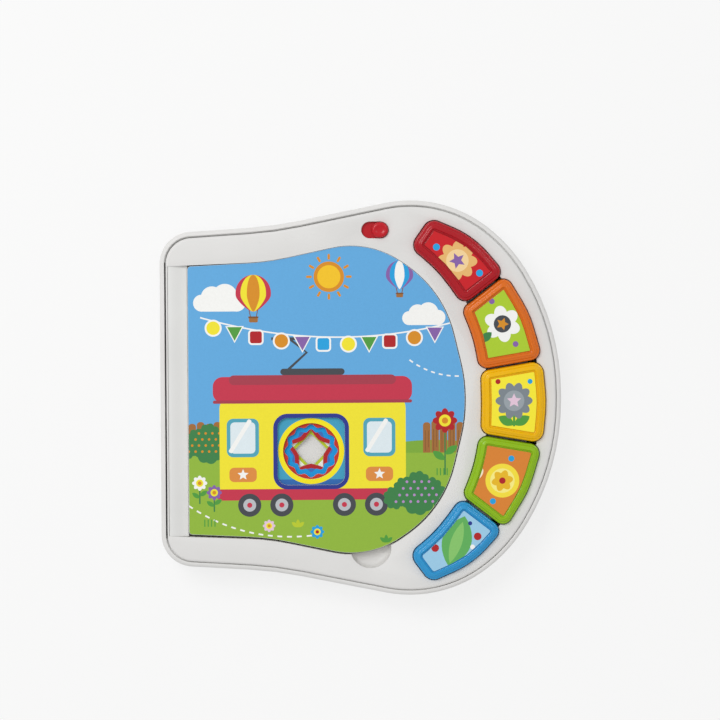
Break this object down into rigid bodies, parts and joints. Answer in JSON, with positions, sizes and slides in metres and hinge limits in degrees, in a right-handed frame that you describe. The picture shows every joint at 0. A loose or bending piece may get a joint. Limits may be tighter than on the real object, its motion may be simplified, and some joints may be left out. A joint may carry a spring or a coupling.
{
  "type": "electronic board book",
  "caption": "Toddler's electronic board book: grey case, thick die-cut leaves, round-cornered coloured picture buttons and a slide switch.",
  "frame": {"origin": "centre of the case's outline, at the level of the feet on the back", "axes": "+Z out of the cover, +X from the spine to the buttons, +Y to the head of the page"},
  "size_m": [0.25, 0.2462, 0.0361],
  "materials": {
    "case_plastic": "satin",
    "strip_plastic": "satin",
    "page_board": "gloss print",
    "cover_board": "gloss print",
    "red_plastic": "satin",
    "orange_plastic": "satin",
    "yellow_plastic": "satin",
    "green_plastic": "satin",
    "blue_plastic": "satin",
    "label_card_red": "printed",
    "label_card_orange": "printed",
    "label_card_yellow": "printed",
    "label_card_green": "printed",
    "label_card_blue": "printed",
    "switch_plastic": "satin",
    "dark_plastic": "matte",
    "pad_rubber": "matte",
    "board_green": "satin",
    "plain_steel": "plated",
    "cone_paper": "matte",
    "magnet_grey": "matte",
    "cell_sleeve": "plain sleeve"
  },
  "bodies": {
    "case": {"lower_housing": "case_plastic", "upper_housing": "case_plastic", "spine_strip": "strip_plastic", "page_block": "page_board", "switch_body": "dark_plastic", "keypad_membrane": "pad_rubber", "circuit_board": "board_green", "speaker_frame": "plain_steel", "speaker_cone": "cone_paper", "speaker_magnet": "magnet_grey", "battery_1": "cell_sleeve", "battery_2": "cell_sleeve", "battery_3": "cell_sleeve", "battery_contacts_front": "plain_steel", "battery_contacts_back": "plain_steel", "battery_door": "case_plastic", "battery_door_screw": "plain_steel", "case_screw_1": "plain_steel", "case_screw_2": "plain_steel", "case_screw_3": "plain_steel", "case_screw_4": "plain_steel", "case_screw_5": "plain_steel", "case_screw_6": "plain_steel", "case_screw_7": "plain_steel"},
    "cover": {"front_cover": "cover_board"},
    "switch": {"switch_knob": "switch_plastic"},
    "key_red": {"button_red": "red_plastic", "label_red": "label_card_red"},
    "key_orange": {"button_orange": "orange_plastic", "label_orange": "label_card_orange"},
    "key_yellow": {"button_yellow": "yellow_plastic", "label_yellow": "label_card_yellow"},
    "key_green": {"button_green": "green_plastic", "label_green": "label_card_green"},
    "key_blue": {"button_blue": "blue_plastic", "label_blue": "label_card_blue"}
  },
  "joints": [
    {"name": "cover_hinge", "type": "hinge", "parent": "case", "child": "cover", "pos_m": [-0.1077, 0, 0.0319], "axis": [0, -1, 0], "range_deg": [0, 180]},
    {"name": "press_red", "type": "slide", "parent": "case", "child": "key_red", "axis": [0, 0, -1], "range_m": [0, 0.0025], "stiffness_N_per_m": 400, "springref_m": -0.002},
    {"name": "press_orange", "type": "slide", "parent": "case", "child": "key_orange", "axis": [0, 0, -1], "range_m": [0, 0.0025], "stiffness_N_per_m": 400, "springref_m": -0.002},
    {"name": "press_yellow", "type": "slide", "parent": "case", "child": "key_yellow", "axis": [0, 0, -1], "range_m": [0, 0.0025], "stiffness_N_per_m": 400, "springref_m": -0.002},
    {"name": "press_green", "type": "slide", "parent": "case", "child": "key_green", "axis": [0, 0, -1], "range_m": [0, 0.0025], "stiffness_N_per_m": 400, "springref_m": -0.002},
    {"name": "press_blue", "type": "slide", "parent": "case", "child": "key_blue", "axis": [0, 0, -1], "range_m": [0, 0.0025], "stiffness_N_per_m": 400, "springref_m": -0.002},
    {"name": "power_slide", "type": "slide", "parent": "case", "child": "switch", "axis": [-1, 0, 0], "range_m": [0, 0.006]}
  ]
}
